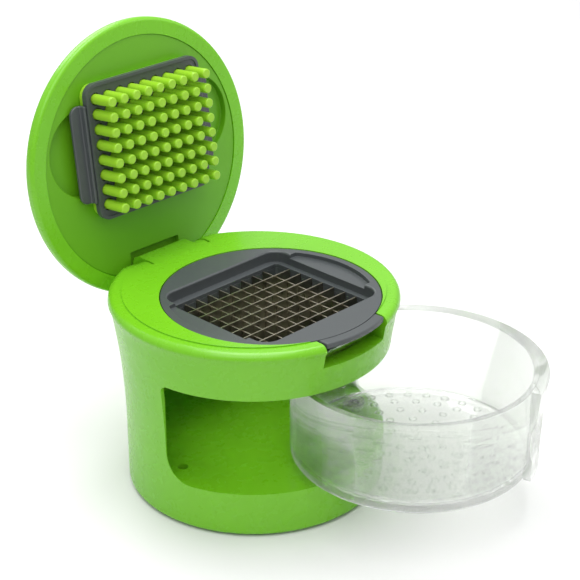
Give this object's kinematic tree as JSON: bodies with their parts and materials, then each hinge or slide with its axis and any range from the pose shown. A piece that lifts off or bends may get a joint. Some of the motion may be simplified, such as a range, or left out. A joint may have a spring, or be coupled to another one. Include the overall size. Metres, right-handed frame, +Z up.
{
  "type": "vegetable dicer",
  "caption": "Round hand dicer: hinged lid with pusher pins, lift-out blade grid and clear cup that swings out of the tower base.",
  "frame": {"origin": "centre of the resting face under the base", "axes": "+Z up along the tower's axis, -Y is the front with the window and the insert's tab, +Y is the hinge side, +X is the side of the cup's pivot"},
  "size_m": [0.1102, 0.149, 0.1415],
  "materials": {
    "green": "moulded gloss, bright lime green",
    "pin_green": "satin, light yellow green",
    "grey": "satin moulded, slate grey",
    "blade_steel": "thin ground steel strip",
    "steel": "plain steel",
    "clear": "clear moulded, polished",
    "rubber": "matt"
  },
  "bodies": {
    "base": {"tower": "green", "ceiling_deck": "green", "top_plate": "green", "base_cover": "green", "foot_pad": "rubber", "base_screws": "steel"},
    "lid": {"lid_shell": "green", "lid_liner": "green", "hinge_pin": "steel", "presser_base": "green", "pusher_pins": "pin_green"},
    "cleaner": {"cleaning_plate": "grey", "grip_tab_left": "grey", "grip_tab_right": "grey"},
    "insert": {"insert_plate": "grey", "insert_tab": "grey", "insert_frame": "grey", "blades_across": "blade_steel", "blades_along": "blade_steel"},
    "cup": {"cup": "clear", "cup_flange": "clear", "cup_pivot": "clear"}
  },
  "joints": [
    {"name": "lid_hinge", "type": "hinge", "parent": "base", "child": "lid", "pos_m": [0, 0.0385, 0.059], "axis": [-1, 0, 0], "range_deg": [-96.6, 0]},
    {"name": "cup_swing", "type": "hinge", "parent": "base", "child": "cup", "pos_m": [0.03129, -0.01499, 0.034], "axis": [0, 0, 1], "range_deg": [-100, 6]},
    {"name": "insert_lift", "type": "slide", "parent": "base", "child": "insert", "axis": [0, 0, 1], "range_m": [0, 0.02]},
    {"name": "cleaning_slide", "type": "slide", "parent": "lid", "child": "cleaner", "axis": [0, -0.9934, 0.1149], "range_m": [0, 0.07]}
  ]
}
